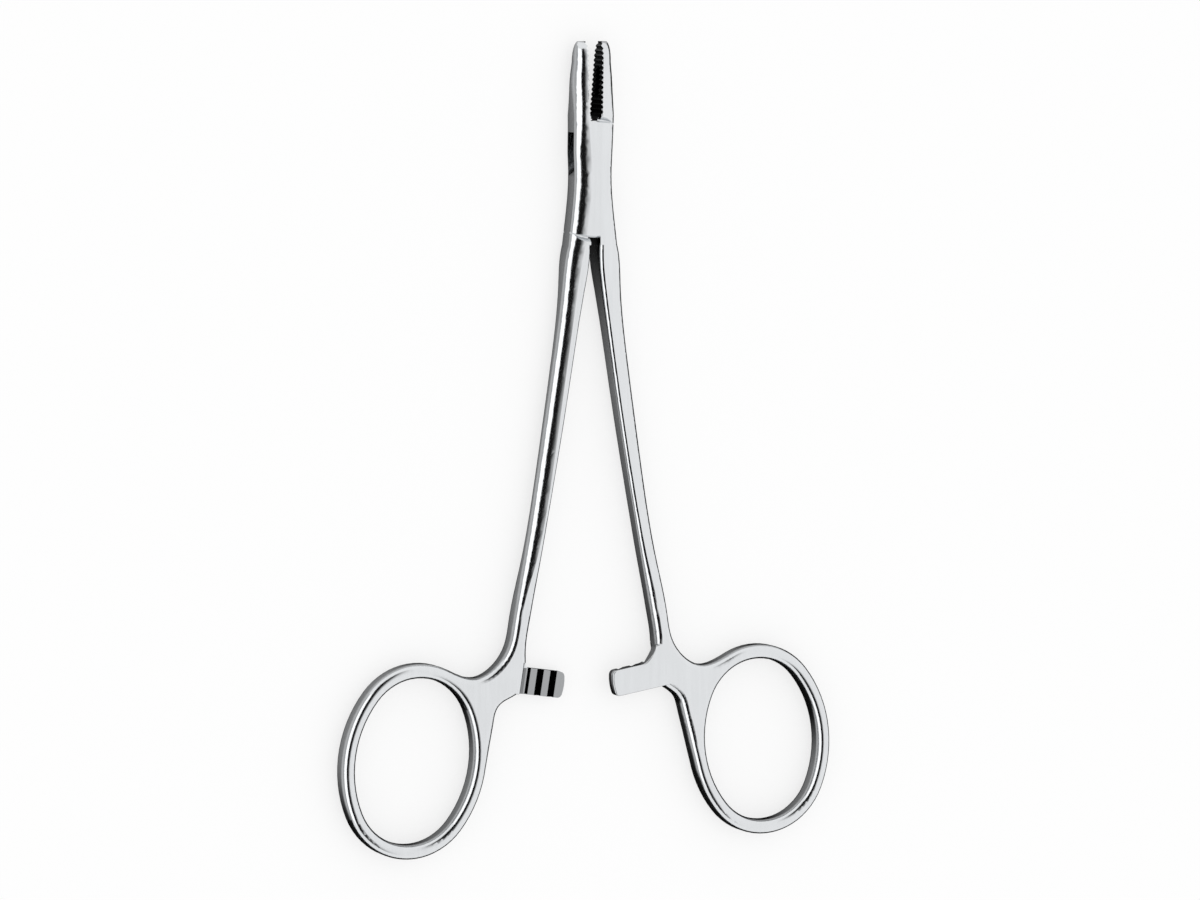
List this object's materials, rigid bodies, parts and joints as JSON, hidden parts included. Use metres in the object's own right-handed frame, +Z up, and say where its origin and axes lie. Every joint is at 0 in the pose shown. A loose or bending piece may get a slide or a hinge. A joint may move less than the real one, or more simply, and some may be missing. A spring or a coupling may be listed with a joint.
{
  "type": "surgical needle holder",
  "caption": "Needle holder in polished stainless steel: two finger rings, ratchet arms, long slim shanks, a box-lock pivot and short cross-serrated jaws.",
  "frame": {"origin": "on the pivot axis, at the flat underside of the box", "axes": "+Y from the finger rings to the jaws, +Z up along the pivot, +X across to the right ring"},
  "size_m": [0.0836, 0.125, 0.0046],
  "materials": {
    "forged_steel": "mirror-polished stainless steel",
    "pin_steel": "polished stainless steel, ground flush"
  },
  "bodies": {
    "female": {"female_half": "forged_steel", "pivot_pin": "pin_steel"},
    "male": {"male_half": "forged_steel"}
  },
  "joints": [
    {"name": "box_lock_hinge", "type": "hinge", "parent": "female", "child": "male", "pos_m": [0, 0, 0], "axis": [0, 0, -1], "range_deg": [-6.3, 45]}
  ]
}
